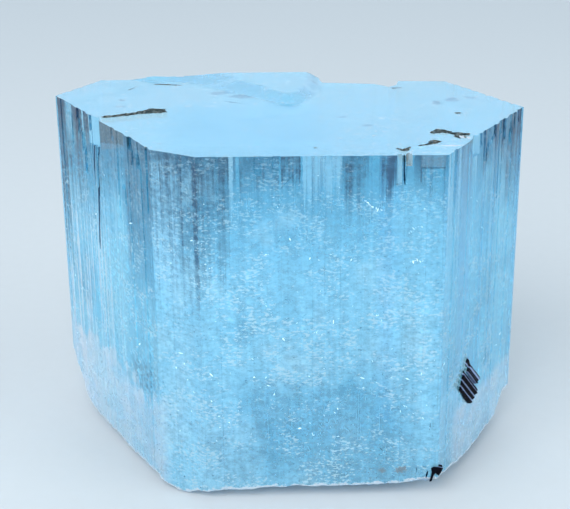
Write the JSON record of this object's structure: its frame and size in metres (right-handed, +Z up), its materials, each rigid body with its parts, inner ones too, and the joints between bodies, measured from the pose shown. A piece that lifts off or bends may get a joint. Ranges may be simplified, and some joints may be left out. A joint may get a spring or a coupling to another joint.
{
  "type": "aquamarine crystal",
  "caption": "Stocky six-sided aquamarine crystal with a flat top, striated sides and a broken base it rests on, with short black schorl crystals grown into it.",
  "frame": {"origin": "centre of the bounding box in plan, at the height of the flat resting face", "axes": "+Z up along the crystal's c-axis, -Y out of the widest front face, +X to the right when the front face is looked at"},
  "size_m": [0.05, 0.0309, 0.0373],
  "materials": {
    "aquamarine": "clear pale blue beryl, slightly milky, glossy on top, finely striated on the sides, frosted on the broken base",
    "schorl": "glossy black, ribbed along its length"
  },
  "bodies": {
    "root": {"aquamarine_crystal": "aquamarine", "schorl_side": "schorl", "schorl_base": "schorl"}
  },
  "joints": []
}
